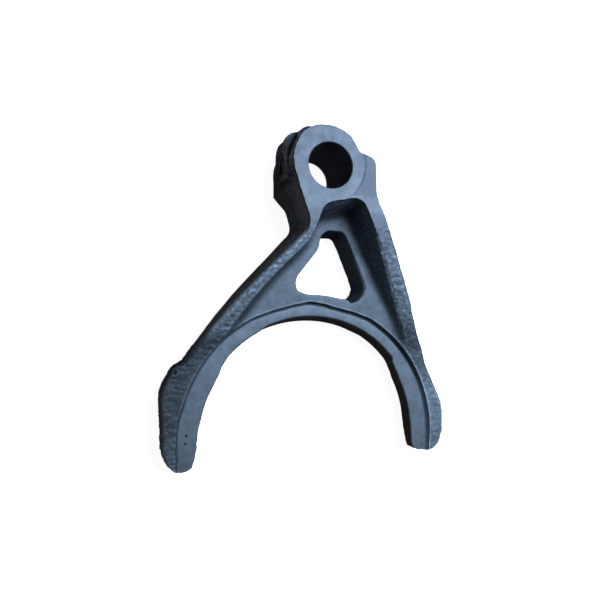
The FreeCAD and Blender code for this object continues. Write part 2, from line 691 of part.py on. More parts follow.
def check(doc, bodies):
    doc.recompute()
    for thing in doc.Objects:
        if "Invalid" in thing.State or "Error" in thing.State:
            raise RuntimeError(f"{thing.Name}: {thing.State}")
    for body in bodies:
        if body.Shape.isNull() or not body.Shape.isValid():
            raise RuntimeError(f"{body.Label} has no valid shape")


def main():
    doc = FreeCAD.newDocument("shift_fork")
    make_sheet(doc)
    bodies = [make_fork(doc)]
    check(doc, bodies)
    os.makedirs("parts", exist_ok=True)
    for body in bodies:
        body.Shape.exportStep(f"parts/{body.Label}.step")
        print(body.Label, "volume", round(body.Shape.Volume), "mm3, faces", len(body.Shape.Faces))


main()
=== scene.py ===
# %% [markdown]
# # A forged steel shift fork
#
# A shift fork slides along a rail in a gearbox and pushes a sleeve with its two pads. The real
# one is hammered between dies while it glows, shot-blasted, and then machined only where it has
# to fit: the hub, the bore, the jaw and the pads. This lesson makes it in the same order. The
# forging comes first, soft and rough all over, and then cutters leave the flat, sharp faces.

import math

import bpy
import numpy as np
from mathutils import Matrix, Vector, noise


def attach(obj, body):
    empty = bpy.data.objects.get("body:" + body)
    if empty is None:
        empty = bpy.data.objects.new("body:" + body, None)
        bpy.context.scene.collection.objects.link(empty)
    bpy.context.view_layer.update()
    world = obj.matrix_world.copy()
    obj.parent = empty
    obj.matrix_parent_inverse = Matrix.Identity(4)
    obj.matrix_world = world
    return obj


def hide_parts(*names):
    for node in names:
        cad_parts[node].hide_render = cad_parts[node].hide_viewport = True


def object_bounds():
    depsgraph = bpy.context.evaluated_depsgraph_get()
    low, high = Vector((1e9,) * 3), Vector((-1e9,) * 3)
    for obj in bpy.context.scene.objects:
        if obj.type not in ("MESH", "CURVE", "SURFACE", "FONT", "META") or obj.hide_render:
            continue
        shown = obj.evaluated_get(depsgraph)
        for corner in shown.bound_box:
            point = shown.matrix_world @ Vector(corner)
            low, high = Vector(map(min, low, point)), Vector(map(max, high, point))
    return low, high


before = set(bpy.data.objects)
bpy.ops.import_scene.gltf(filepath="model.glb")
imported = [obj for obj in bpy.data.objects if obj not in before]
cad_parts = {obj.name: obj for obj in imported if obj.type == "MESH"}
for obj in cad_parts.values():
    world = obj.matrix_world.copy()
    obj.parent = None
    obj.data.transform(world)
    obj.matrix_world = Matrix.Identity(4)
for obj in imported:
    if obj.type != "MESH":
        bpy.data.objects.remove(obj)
CAD_BOX = [list(corner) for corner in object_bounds()]
print("CAD box", CAD_BOX)

# %% [markdown]
# The work is done in millimetres, as on a bench, and the finished mesh is brought to metres at
# the end. The sizes of the machined faces are those of the part's drawing. The origin is where
# the rail's axis meets the back of the hub.

# %% Sizes in millimetres
MM = 0.001
# levels of the faces: the back of the hub lies at 0
HUB_FACE, LUG_FACE = 30.0, 29.2
PAD_FRONT, PAD_BACK = 13.0, 4.8
WEB_FRONT, WEB_BACK = 15.5, 2.5
PARTING = 9.0
# the jaw's axis, its bore at the pads, and the ring that is faced round it
JAW = Vector((-0.7, -106.9, 0.0))
PAD_RADIUS, RING_RADIUS = 45.75, 53.85
# the hub, and the bore for the rail
HUB = Vector((-0.9, 1.6, 0.0))
HUB_RADIUS = 14.3
BORE_RADIUS, BORE_CHAMFER = 9.05, 0.3
# the locking screw's hole runs along X from this point, through a round flat
SCREW = Vector((-16.1, 1.6, 15.2))
SCREW_RADIUS, THREAD_DEPTH, THREAD_PITCH = 3.4, 0.55, 1.25
FLAT_RADIUS = 5.8
# what machining takes off, and the side of the cells that the skin is made of
STOCK = 1.5
GRAIN = 0.5
print("jaw", 2 * PAD_RADIUS, "mm wide, bore", 2 * BORE_RADIUS, "mm, hub", HUB_FACE, "mm high")


# %% [markdown]
# ## Helpers
#
# Every operator works on what is selected, so one helper selects a single object first, and one
# applies a modifier with its settings. A third adds a cylinder. Its ends are fans of triangles,
# because one flat face with a hundred corners shades badly once something cuts it.

# %% Helpers for objects
def pick(thing):
    bpy.ops.object.select_all(action="DESELECT")
    thing.select_set(True)
    bpy.context.view_layer.objects.active = thing


def apply_modifier(thing, kind, **settings):
    pick(thing)
    modifier = thing.modifiers.new(kind.title(), kind)
    for name, value in settings.items():
        setattr(modifier, name, value)
    bpy.ops.object.modifier_apply(modifier=modifier.name)


def new_cylinder(name, radius, low, high, centre=(0, 0), segments=96):
    bpy.ops.object.select_all(action="DESELECT")
    middle = (centre[0], centre[1], (low + high) / 2)
    bpy.ops.mesh.primitive_cylinder_add(
        vertices=segments, radius=radius, depth=high - low, location=middle,
        end_fill_type="TRIFAN")
    cylinder = bpy.context.active_object
    cylinder.name = name
    bpy.ops.object.transform_apply(location=True, rotation=True, scale=True)
    return cylinder


def triangles(thing):
    return sum(len(face.vertices) - 2 for face in thing.data.polygons)


# %% [markdown]
# A cutter takes its form away with the boolean modifier, and is deleted once it has done its work.
# A plain box may be subdivided, so that the flat face it leaves is made of small pieces that
# shade evenly.

# %% Helpers for cutting
def cut_with(thing, cutter):
    apply_modifier(thing, "BOOLEAN", operation="DIFFERENCE", object=cutter, solver="MANIFOLD")
    bpy.data.objects.remove(cutter)


def new_box(name, low, high, cuts=0):
    bpy.ops.object.select_all(action="DESELECT")
    low, high = Vector(low), Vector(high)
    bpy.ops.mesh.primitive_cube_add(size=1, location=(low + high) / 2, scale=high - low)
    box = bpy.context.active_object
    box.name = name
    bpy.ops.object.transform_apply(location=True, rotation=True, scale=True)
    if cuts:
        bpy.ops.object.mode_set(mode="EDIT")
        bpy.ops.mesh.select_all(action="SELECT")
        bpy.ops.mesh.subdivide(number_cuts=cuts)
        bpy.ops.object.mode_set(mode="OBJECT")
    return box


# %% [markdown]
# Round cutters are turned like parts on a lathe. Their outline is drawn as radius and height from
# the axis out and back again, and the spin operator carries it round. A cutter for the locking
# screw's hole is then laid down, so that its height runs towards -X.

# %% Helpers for turned shapes
TURNED_WELD = 0.0005


def arc(centre, radius, first, last, steps=6):
    turns = [math.radians(first + (last - first) * i / steps) for i in range(steps + 1)]
    return [(centre[0] + radius * math.cos(t), centre[1] + radius * math.sin(t)) for t in turns]


def new_turned(name, outline, centre=(0, 0), steps=128):
    mesh = bpy.data.meshes.new(name)
    points = [(radius, 0.0, height) for radius, height in outline]
    mesh.from_pydata(points, [(i, i + 1) for i in range(len(points) - 1)], [])
    turned = bpy.data.objects.new(name, mesh)
    bpy.context.scene.collection.objects.link(turned)
    pick(turned)
    bpy.ops.object.mode_set(mode="EDIT")
    bpy.ops.mesh.select_all(action="SELECT")
    bpy.ops.mesh.spin(steps=steps, angle=math.tau, center=(0, 0, 0), axis=(0, 0, 1))
    bpy.ops.mesh.select_all(action="SELECT")
    bpy.ops.mesh.remove_doubles(threshold=TURNED_WELD)
    bpy.ops.mesh.normals_make_consistent(inside=False)
    bpy.ops.object.mode_set(mode="OBJECT")
    mesh.transform(Matrix.Translation((centre[0], centre[1], 0.0)))
    return turned


def lay_towards_screw(thing):
    thing.data.transform(Matrix.Rotation(math.radians(-90), 4, "Y"))
    thing.data.transform(Matrix.Translation((0, SCREW.y, SCREW.z)))


# %% [markdown]
# Nearly every form and every patch of colour on this part fades into the next one. One function
# does all of that: it climbs smoothly from 0 to 1 between two values. They are millimetres where
# a place is given, and parts of one where a normal is.

# %% Helper for soft borders
def ramp(value, start, end):
    share = min(max((value - start) / (end - start), 0.0), 1.0)
    return share * share * (3 - 2 * share)


print("half way up a ramp", ramp(5.0, 0.0, 10.0))

# %% [markdown]
# ## The raw forging
#
# The fork could be modelled again from primitives, but a copy of the CAD node has every main form
# already, at its true size. The node's mesh is loose triangles, so the copy is merged first.

# %% Copy the CAD node in millimetres
COPY_WELD = 0.001
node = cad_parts["shift_fork"]
fork = node.copy()
fork.data = node.data.copy()
fork.name = "forged_fork"
fork.parent = None
bpy.context.scene.collection.objects.link(fork)
fork.data.transform(Matrix.Scale(1 / MM, 4))
fork.data.materials.clear()
pick(fork)
bpy.ops.object.mode_set(mode="EDIT")
bpy.ops.mesh.select_all(action="SELECT")
bpy.ops.mesh.remove_doubles(threshold=COPY_WELD)
bpy.ops.object.mode_set(mode="OBJECT")
print("CAD copy", triangles(fork), "triangles")


# %% [markdown]
# Its machined faces get their stock back, as the forging has it before it goes to the machine
# shop: faces are picked by their place and normal, and extruded outwards. The pads are brought up
# to the web on both sides, because the ring is faced out of one level of rough steel.

# %% Grow stock on machined faces
AT_LEVEL, FACING = 0.01, 0.99


def grow(thing, wanted, height):
    pick(thing)
    bpy.ops.object.mode_set(mode="EDIT")
    bpy.ops.mesh.select_mode(type="FACE")
    bpy.ops.mesh.select_all(action="DESELECT")
    bpy.ops.object.mode_set(mode="OBJECT")
    count = 0
    for face in thing.data.polygons:
        face.select = wanted(face.center, face.normal)
        count += face.select
    bpy.ops.object.mode_set(mode="EDIT")
    bpy.ops.mesh.extrude_region_move(TRANSFORM_OT_translate={"value": (0, 0, height)})
    bpy.ops.object.mode_set(mode="OBJECT")
    return count


def is_level(level, up):
    return lambda place, normal: abs(place.z - level) < AT_LEVEL and normal.z * up > FACING


print("hub front", grow(fork, is_level(HUB_FACE, 1), STOCK), "faces")
print("lug", grow(fork, is_level(LUG_FACE, 1), HUB_FACE + STOCK - LUG_FACE), "faces")
print("hub back", grow(fork, is_level(0.0, -1), -STOCK), "faces")
print("pads front", grow(fork, is_level(PAD_FRONT, 1), WEB_FRONT - PAD_FRONT), "faces")
print("pads back", grow(fork, is_level(PAD_BACK, -1), WEB_BACK - PAD_BACK), "faces")

# %% [markdown]
# The inside of the jaw is filled the other way: a ring of stock is laid over its wall, and two
# boxes cut it off below the pads.

# %% Fill the inside of the jaw
FINE_ROUND = 192
JAW_OVERLAP = 4.0
LEFT_END, RIGHT_END = JAW.y - 0.4, JAW.y - 6.5
CUT_LOW, CUT_HIGH = -1, 21
CUT_SIDE, CUT_DOWN = 80, -180
INNER_TOP = 20
jaw = new_cylinder("jaw_stock", PAD_RADIUS + JAW_OVERLAP, WEB_BACK, WEB_FRONT, JAW.xy, FINE_ROUND)
cut_with(jaw, new_cylinder("inner", PAD_RADIUS - STOCK, 0, INNER_TOP, JAW.xy, FINE_ROUND))
cut_with(jaw, new_box("below_left", (-CUT_SIDE, CUT_DOWN, CUT_LOW), (0, LEFT_END, CUT_HIGH)))
cut_with(jaw, new_box("below_right", (-1, CUT_DOWN, CUT_LOW), (CUT_SIDE, RIGHT_END, CUT_HIGH)))
print("jaw stock", triangles(jaw), "triangles")

# %% [markdown]
# The bore and the screw's hole are filled with plain bars. Three more round bars make the forging
# fuller than its drawing, as the real one is: one lies in the hollow between the hub and the lobe
# that holds the screw, and one stands in each tip, which leans a little towards the jaw.

# %% Fill the holes and fill out the forging
BORE_OVERLAP = 1.0
SCREW_START, SCREW_PROUD = 7.0, 0.4
ROUND_BARS = [
    ("lobe_hollow", 4.2, 26.5, (-7.6, 11.4)),
    ("left_tip", 6.2, WEB_FRONT, (-51.5, -113.4)),
    ("right_tip", 3.0, WEB_FRONT, (48.6, -112.6)),
]
blocks = [jaw, new_cylinder("bore_stock", BORE_RADIUS + BORE_OVERLAP, -STOCK, HUB_FACE + STOCK)]
screw_fill = new_cylinder("screw_stock", FLAT_RADIUS, SCREW_START, -SCREW.x + SCREW_PROUD)
lay_towards_screw(screw_fill)
blocks.append(screw_fill)
for name, radius, top, centre in ROUND_BARS:
    blocks.append(new_cylinder(name, radius, WEB_BACK, top, centre))
print(len(blocks), "fillings")

# %% [markdown]
# The rim under the window is broader than on the drawing, and its edge is not quite straight. A
# row of thin bars follows that edge, so close together that they melt into one form.

# %% Broaden the rim under the window
RIM_EDGE = [(-7.0, -48.6), (-5.0, -49.4), (-2.9, -49.7), (1.5, -49.7), (5.8, -50.0),
            (10.3, -50.9), (14.0, -51.2)]
BAR_RADIUS, BAR_SEGMENTS = 1.9, 24
BAR_SHARES = (0.0, 0.25, 0.5, 0.75)
for (x0, y0), (x1, y1) in zip(RIM_EDGE, RIM_EDGE[1:]):
    for share in BAR_SHARES:
        centre = (x0 + (x1 - x0) * share, y0 + (y1 - y0) * share - BAR_RADIUS)
        bar = new_cylinder("rim_bar", BAR_RADIUS, WEB_BACK, WEB_FRONT, centre, BAR_SEGMENTS)
        blocks.append(bar)
pick(fork)
for block in blocks:
    block.select_set(True)
bpy.ops.object.join()
print("forging with stock", triangles(fork), "triangles")


# %% [markdown]
# A voxel remesh lays an even net of quads over everything and melts the fillings into one skin,
# so that smoothing and hammer marks come out the same everywhere. A boolean union would keep
# every edge where two forms meet. The corners of the tips are cut round before a second remesh.

# %% Remesh and round the tips
CORNER_OUT, CORNER_LOW, CORNER_HIGH = 6, -5, 25
KEEP_LOW, KEEP_HIGH, KEEP_SEGMENTS = -9, 30, 64
# centre, radius and the quadrant that is rounded
CORNERS = [
    ((-51.0, -110.6), 9.1, (-1, -1)), ((-52.2, -114.2), 5.2, (1, -1)),
    ((50.9, -108.2), 7.7, (1, -1)), ((50.2, -110.6), 5.2, (-1, -1)),
]


def round_corner(thing, centre, radius, towards):
    far = Vector(centre) + Vector(towards) * (radius + CORNER_OUT)
    low = (min(centre[0], far.x), min(centre[1], far.y), CORNER_LOW)
    high = (max(centre[0], far.x), max(centre[1], far.y), CORNER_HIGH)
    corner = new_box("corner", low, high)
    cut_with(corner, new_cylinder("keep", radius, KEEP_LOW, KEEP_HIGH, centre, KEEP_SEGMENTS))
    cut_with(thing, corner)


apply_modifier(fork, "REMESH", mode="VOXEL", voxel_size=GRAIN)
for centre, radius, towards in CORNERS:
    round_corner(fork, centre, radius, towards)
apply_modifier(fork, "REMESH", mode="VOXEL", voxel_size=GRAIN)
print("remeshed", triangles(fork), "triangles")


# %% [markdown]
# Dies and shot leave no sharp edge, so the whole skin is smoothed a little. The outer edge of the
# left lip and arm is worn much rounder. A second pass works only there, held by a vertex group.

# %% Soften the edges
HALF_WAY = 0.5
SKIN_PASSES, WORN_PASSES = 8, 60
LEAST_WEIGHT = 0.01


def worn(place):
    out = (place.xy - JAW.xy).length
    lip = ramp(out, PAD_RADIUS + 10.5, PAD_RADIUS + 12.5) * ramp(-place.x, 44.0, 50.0)
    return lip * ramp(place.z, PARTING - 1.0, PARTING + 2.0)


apply_modifier(fork, "SMOOTH", factor=HALF_WAY, iterations=SKIN_PASSES)
group = fork.vertex_groups.new(name="worn")
held = 0
for vertex in fork.data.vertices:
    weight = worn(vertex.co)
    if weight > LEAST_WEIGHT:
        group.add([vertex.index], weight, "REPLACE")
        held += 1
apply_modifier(fork, "SMOOTH", factor=HALF_WAY, iterations=WORN_PASSES, vertex_group="worn")
fork.vertex_groups.clear()
print("worn edge", held, "points")


# %% [markdown]
# The hub's machined face runs over into the falling ribs without a crease, and the lug beside it
# stays a little lower than the face, as forged. So the raw top is pressed down to a smooth limit
# before it is hammered, and the flat cut later only touches what stands above it.

# %% The highest level at each place
FALL_START, FALL = -24.0, 0.3002
EASE = 7.0
LUG_DROP = 0.7
LIP_TOP = WEB_FRONT - 0.45
# square millimetres: the larger it is, the rounder the ribs run out onto the lips
RUN_OUT = 1.5


def falling_limit(place):
    over = FALL_START + EASE - place.y
    if over > 2 * EASE:
        above = HUB_FACE - FALL * (over - EASE) - LIP_TOP
        return LIP_TOP + (above + math.sqrt(above * above + RUN_OUT)) / 2
    if over > 0:
        return HUB_FACE - FALL * over * over / (4 * EASE)
    return HUB_FACE + STOCK * ramp(place.y, -17.0, -12.0)


def top_limit(place):
    beside = ramp((place.xy - HUB.xy).length, HUB_RADIUS - 0.3, HUB_RADIUS + 1.7)
    zone = beside * ramp(place.y, -16.0, -12.0) * (place.x > 0)
    on_lug = beside * ramp(place.y, -12.0, 3.0) * (place.x > 0)
    hub_limit = HUB_FACE + (STOCK + 0.5) * (1 - zone) - LUG_DROP * on_lug
    return min(falling_limit(place), hub_limit)


pressed = 0
for vertex in fork.data.vertices:
    limit = top_limit(vertex.co)
    if vertex.co.z > limit:
        vertex.co.z = limit
        pressed += 1
fork.data.update()
print("pressed", pressed, "points")


# %% [markdown]
# ## Hammered skin
#
# The ribs and the lips of the real fork are scaly. The left lip has fine ripples across it, the
# ribs have lumps of a millimetre or two, and the web between them is nearly smooth. Weights say
# what kind of skin a place has, and they serve again later for its colour.

# %% Kinds of skin
def skin_kind(place):
    from_jaw = (place.xy - JAW.xy).length
    rib = ramp(place.z, WEB_FRONT + 0.3, WEB_FRONT + 2.5)
    lip = ramp(from_jaw, RING_RADIUS - 1.0, RING_RADIUS + 1.0) * ramp(-place.y, 62.0, 72.0)
    left = ramp(-place.x, 10.0, 20.0)
    return rib, lip * left, lip * (1 - left)


for name, place in (("rib", (20, -30, 24)), ("left lip", (-55, -90, 15)), ("web", (0, -30, 15))):
    print(name, [round(share, 2) for share in skin_kind(Vector(place))])


# %% [markdown]
# Each point moves along its normal by noise whose cells have real sizes: lumps about 2 mm wide,
# ripples 4 mm long and under a millimetre across, and a fine grain of 1 mm. The place is bent by
# a slower noise first, so that the ripples do not run in rows. A bump map could draw the same
# marks, but not the uneven outline that they give the ribs.

# %% Height of the skin
SKIN_DEPTH, BROAD_HEIGHT, FINE_HEIGHT = 0.12, 0.10, 0.03
# how rough a fractal noise is, how much finer each octave is, and how many there are
FRACTAL = (0.8, 2.0, 3)
# cells of the noise, in mm
BROAD_CELL, FINE_CELL, BEND_CELL, BEND = 8.0, 1.0, 4.0, 0.9
LUMP_CELL, RIPPLE_CELL = (2.4, 1.7, 2.4), (4.5, 0.8, 3.0)
# heights in mm of lumps, ripples and fine grain
RIB_HEIGHTS = (0.17, 0.07, 0.10)
LEFT_LIP_HEIGHTS = (0.08, 0.24, 0.09)
RIGHT_LIP_HEIGHTS = (0.07, 0.05, 0.11)
# the patterns are read from places of the noise that lie apart, so that they do not coincide
RIPPLE_SHIFT, FINE_SHIFT = Vector((7, 3, 1)), Vector((11, 5, 2))
# noise_vector starts at another place in each run, unless it is given a seed
BEND_SEED = 1
noise.seed_set(BEND_SEED)


def in_cells(place, cell):
    return Vector((place.x / cell[0], place.y / cell[1], place.z / cell[2]))


def skin_height(place):
    broad = noise.fractal(place / BROAD_CELL, *FRACTAL)
    bent = place + noise.noise_vector(place / BEND_CELL) * BEND
    lumps = noise.noise(in_cells(bent, LUMP_CELL))
    ripples = noise.noise(in_cells(bent, RIPPLE_CELL) + RIPPLE_SHIFT)
    fine = noise.noise(place / FINE_CELL + FINE_SHIFT)
    height = BROAD_HEIGHT * broad + FINE_HEIGHT * fine - SKIN_DEPTH
    kinds = zip(skin_kind(place), (RIB_HEIGHTS, LEFT_LIP_HEIGHTS, RIGHT_LIP_HEIGHTS))
    for share, (of_lumps, of_ripples, of_fine) in kinds:
        height += share * (of_lumps * lumps + of_ripples * ripples + of_fine * fine)
    return height


# %% [markdown]
# Where the dies met, a thin flash was trimmed off. Its trace runs round the side walls at the
# parting height as a low, uneven ridge.

# %% Trace of the flash
FLASH_HEIGHT, FLASH_HALF = 0.22, 0.7
FLASH_MEAN, FLASH_WAVE = 0.7, 0.6
FLASH_CELL, FLASH_SHIFT = 3.0, Vector((2, 9, 4))


def flash_height(place, normal):
    near = 1 - ramp(abs(place.z - PARTING), 0.0, FLASH_HALF)
    uneven = FLASH_MEAN + FLASH_WAVE * noise.noise(place / FLASH_CELL + FLASH_SHIFT)
    return FLASH_HEIGHT * near * uneven * ramp(1 - abs(normal.z), 0.5, 0.9)


# %% [markdown]
# No forging fills its dies evenly. The right arm and the corner of the lobe came out fuller than
# the drawing, and the left lip and the lug leaner. This moves the side walls only.

# %% Where the forging is fuller or leaner
RIGHT_ARM_FULL, LEFT_LIP_LEAN, LOBE_FULL, LUG_LEAN = 0.45, 0.25, 0.5, 0.35


def swell(place):
    right = ramp(-place.y, 16.0, 34.0) * (1 - ramp(-place.y, 88.0, 102.0))
    right *= ramp(place.x, 14.0, 24.0)
    left = ramp(-place.y, 70.0, 80.0) * (1 - ramp(-place.y, 100.0, 110.0))
    left *= ramp(-place.x, 50.0, 54.0)
    lobe = ramp(-place.x, 2.0, 6.0) * ramp(place.y, 7.0, 12.0) * ramp(place.z, 14.0, 20.0)
    lug = ramp(place.x, 16.0, 20.0) * ramp(place.y, -15.0, -9.0) * (1 - ramp(place.y, -1.0, 3.0))
    lug = max(lug, ramp(place.x, 8.0, 11.0) * ramp(place.y, 3.0, 6.0))
    return RIGHT_ARM_FULL * right - LEFT_LIP_LEAN * left + LOBE_FULL * lobe - LUG_LEAN * lug


# %% [markdown]
# All of it is added up and moves each point along its normal. Near the hub the top is nearly
# smooth, because it runs straight into the machined face. The moves are worked out first and
# made afterwards, so that no point changes the normal of its neighbour.

# %% Hammer the forging
CALM = 0.92


def hammer(thing):
    mesh = thing.data
    moves = []
    for vertex in mesh.vertices:
        place, normal = vertex.co, vertex.normal
        calm = ramp(place.y, -29.0, -16.0) * ramp(place.z, 24.0, 28.0) * ramp(normal.z, 0.5, 0.9)
        depth = skin_height(place) * (1 - CALM * calm) + flash_height(place, normal)
        depth += swell(place) * ramp(1 - abs(normal.z), 0.3, 0.8)
        moves.append(normal * depth)
    for vertex, move in zip(mesh.vertices, moves):
        vertex.co += move
    mesh.update()
    return max(move.length for move in moves)


print("deepest mark", round(hammer(fork), 2), "mm")


# %% [markdown]
# ## Machining
#
# Cutters of the real sizes now take the stock off. Where a cutter meets the rough skin, the edge
# comes out sharp and a little wavy by itself, which no bevel could do as well. The hub is faced
# first, front and back.

# %% Face the hub
SIDE, PAST, CUTS = 40, 20, 24
cut_with(fork, new_box("front_face", (-SIDE, -SIDE, HUB_FACE), (SIDE, SIDE, HUB_FACE + PAST), CUTS))
cut_with(fork, new_box("back_face", (-SIDE, -SIDE, -PAST), (SIDE, SIDE, 0.0), CUTS))
print("hub faced", triangles(fork), "triangles")


# %% [markdown]
# The ring round the jaw and the jaw itself are not perfectly round on the real fork. Their
# cutters are turned first, and then each point is moved in or out by a small table against its
# angle about the jaw's axis: 0 degrees points to +X, and 90 degrees to the hub.

# %% Helpers to reshape a turned cutter
ON_AXIS = 1.0


def table_at(table, angle):
    for first, last in zip(table, table[1:]):
        if first[0] <= angle <= last[0]:
            share = ramp(angle, first[0], last[0])
            return [a + (b - a) * share for a, b in zip(first[1:], last[1:])]
    return list(table[0][1:])


def reshape(cutter, radius_at):
    for vertex in cutter.data.vertices:
        out = vertex.co.xy - JAW.xy
        if out.length > ON_AXIS:
            angle = math.degrees(math.atan2(out.y, out.x)) % 360.0
            angle = angle - 360.0 if angle > 270.0 else angle
            out = out.normalized() * radius_at(angle, out.length, vertex.co.z) + JAW.xy
            vertex.co.x, vertex.co.y = out
    cutter.data.update()


# %% [markdown]
# The ring is faced down from both sides. In front it was guided by hand, so its edge wanders by
# half a millimetre. The foot of the step is round, as the nose of the cutter was.

# %% Face the ring round the jaw
# angle and radius of the ring's edge in front
RING_EDGE = [
    (-90, 53.85), (56, 53.85), (62, 53.95), (68, 53.4), (76, 53.0), (81, 53.0), (86, 53.7),
    (92, 54.2), (98, 53.6), (104, 53.15), (110, 53.2), (120, 53.6), (134, 53.8), (150, 53.7),
    (166, 53.75), (172, 54.4), (180, 54.35), (186, 54.6), (191, 55.1), (270, 55.1),
]
NOSE = 1.4
INNER = RING_RADIUS - 10
RING_LOW, RING_HIGH = -30, 50
EACH_DEGREE = 360


def ring_radius(angle, radius, height):
    return radius + table_at(RING_EDGE, angle)[0] - RING_RADIUS


corner = arc((RING_RADIUS - NOSE, PAD_FRONT + NOSE), NOSE, -90, 0)
outline = [(0, PAD_FRONT), (INNER, PAD_FRONT)] + corner + [(RING_RADIUS, RING_HIGH), (0, RING_HIGH)]
ring = new_turned("front_ring", outline, JAW.xy, EACH_DEGREE)
reshape(ring, ring_radius)
cut_with(fork, ring)
corner = arc((RING_RADIUS - NOSE, PAD_BACK - NOSE), NOSE, 0, 90)
outline = [(0, RING_LOW), (RING_RADIUS, RING_LOW)] + corner + [(INNER, PAD_BACK), (0, PAD_BACK)]
cut_with(fork, new_turned("back_ring", outline, JAW.xy, EACH_DEGREE))
print("ring faced", triangles(fork), "triangles")

# %% [markdown]
# Two small pits in the left pad and a nick on the shoulder above it are the only blows that show.
# Each is cut with a small ball.

# %% Strike the marks
# place and radius of each ball
MARKS = [((-51.0, -105.4, 13.1), 0.55), ((-51.3, -108.4, 13.1), 0.5), ((-56.2, -80.9, 15.5), 1.2)]
for place, radius in MARKS:
    bpy.ops.object.select_all(action="DESELECT")
    bpy.ops.mesh.primitive_ico_sphere_add(subdivisions=3, radius=radius, location=place)
    mark = bpy.context.active_object
    bpy.ops.object.transform_apply(location=True, rotation=True, scale=True)
    cut_with(fork, mark)
print(len(MARKS), "marks, now", triangles(fork), "triangles")

# %% [markdown]
# The jaw is bored to one radius at the pads. Between them its wall stands back and leans, and the
# pads run into it on short ramps. One turned cutter does it all, with a rounded rim for both
# edges of the pads, after its radius at the back and at the front is set by the table.

# %% Bore the jaw
# angle, radius at the back and radius at the front
JAW_WALL = [
    (-90, 49.5, 47.6), (-10, 48.8, 46.8), (-6, 47.4, 46.0), (-3, 46.6, 45.75), (1, 45.9, 45.6),
    (6, 45.6, 45.3), (16, 45.6, 45.3), (28, 45.6, 45.5), (34, 46.4, 46.1),
    (38, 47.0, 46.6), (40.5, 47.15, 48.0), (58, 47.1, 48.2), (66, 46.6, 48.2),
    (95, 46.3, 48.2), (112, 46.4, 47.9), (120, 46.9, 47.1), (137, 46.9, 46.9),
    (142, 46.4, 46.4), (148, 45.3, 45.3), (154, 45.0, 45.0), (160, 45.2, 45.2),
    (169, 45.3, 45.3), (178, 45.9, 45.9), (184, 46.2, 46.2), (188, 47.1, 47.1),
    (193, 48.8, 48.8), (270, 48.8, 48.8),
]
EDGE = 0.6
RIM = PAD_RADIUS + EDGE
JAW_LOW, JAW_HIGH = -5, 40


def jaw_radius(angle, radius, height):
    back, front = table_at(JAW_WALL, angle)
    share = min(max((height - PAD_BACK) / (PAD_FRONT - PAD_BACK), 0.0), 1.0)
    return radius - PAD_RADIUS + back + (front - back) * share


outline = [(0, JAW_LOW), (RIM, JAW_LOW)]
outline += arc((RIM, PAD_BACK + EDGE), EDGE, 270, 180, 4)
outline += arc((RIM, PAD_FRONT - EDGE), EDGE, 180, 90, 4)
outline += [(RIM, JAW_HIGH), (0, JAW_HIGH)]
jaw_cutter = new_turned("jaw_cutter", outline, JAW.xy, EACH_DEGREE)
reshape(jaw_cutter, jaw_radius)
cut_with(fork, jaw_cutter)
print("jaw bored", triangles(fork), "triangles")

# %% [markdown]
# The rail runs in a plain bore with a small chamfer at both ends. The cutter's outline flares out
# at 45 degrees past each face, so the chamfer is cut along with the bore.

# %% Bore the hub
FLARE = 5
chamfer = BORE_RADIUS + BORE_CHAMFER
outline = [
    (0, -FLARE), (chamfer + FLARE, -FLARE), (chamfer, 0), (BORE_RADIUS, BORE_CHAMFER),
    (BORE_RADIUS, HUB_FACE - BORE_CHAMFER), (chamfer, HUB_FACE),
    (chamfer + FLARE, HUB_FACE + FLARE), (0, HUB_FACE + FLARE),
]
cut_with(fork, new_turned("rail_bore", outline))
print("hub bored", triangles(fork), "triangles")

# %% [markdown]
# The locking screw's hole is tapped. Its thread is a row of grooves, one to a pitch, which looks
# the same as a helix through so small a hole. A short countersink opens its mouth.

# %% Tap the screw hole
COUNTERSINK = 0.8
HOLE_START, HOLE_END, FLAT_END = 5.0, 25, 30
mouth = -SCREW.x
flat = new_cylinder("screw_flat", FLAT_RADIUS, mouth, FLAT_END)
lay_towards_screw(flat)
cut_with(fork, flat)
outline = [(0, HOLE_START), (SCREW_RADIUS, HOLE_START)]
depth = SCREW_START
while depth < mouth - THREAD_PITCH:
    outline += [(SCREW_RADIUS, depth), (SCREW_RADIUS + THREAD_DEPTH, depth + THREAD_PITCH / 2)]
    depth += THREAD_PITCH
outline += [(SCREW_RADIUS, depth), (SCREW_RADIUS, mouth - SCREW_PROUD)]
widest = SCREW_RADIUS + COUNTERSINK
outline += [(widest, mouth + SCREW_PROUD), (widest, HOLE_END), (0, HOLE_END)]
hole = new_turned("screw_hole", outline, steps=64)
lay_towards_screw(hole)
cut_with(fork, hole)
print("machined", triangles(fork), "triangles")

# %% [markdown]
# Each cut leaves slivers and many-sided faces where the cutter grazed the skin. Points that lie on
# each other are merged, faces without an area are dissolved, and many-sided faces are split.

# %% Clean the cuts
SLIVER = 0.003
FIVE_SIDED = 5
apply_modifier(fork, "TRIANGULATE", min_vertices=FIVE_SIDED, ngon_method="BEAUTY")
pick(fork)
bpy.ops.object.mode_set(mode="EDIT")
bpy.ops.mesh.select_all(action="SELECT")
bpy.ops.mesh.remove_doubles(threshold=SLIVER)
bpy.ops.mesh.dissolve_degenerate(threshold=SLIVER)
bpy.ops.mesh.delete_loose()
bpy.ops.object.mode_set(mode="OBJECT")
apply_modifier(fork, "TRIANGULATE", min_vertices=FIVE_SIDED, ngon_method="BEAUTY")
print("cleaned", triangles(fork), "triangles")
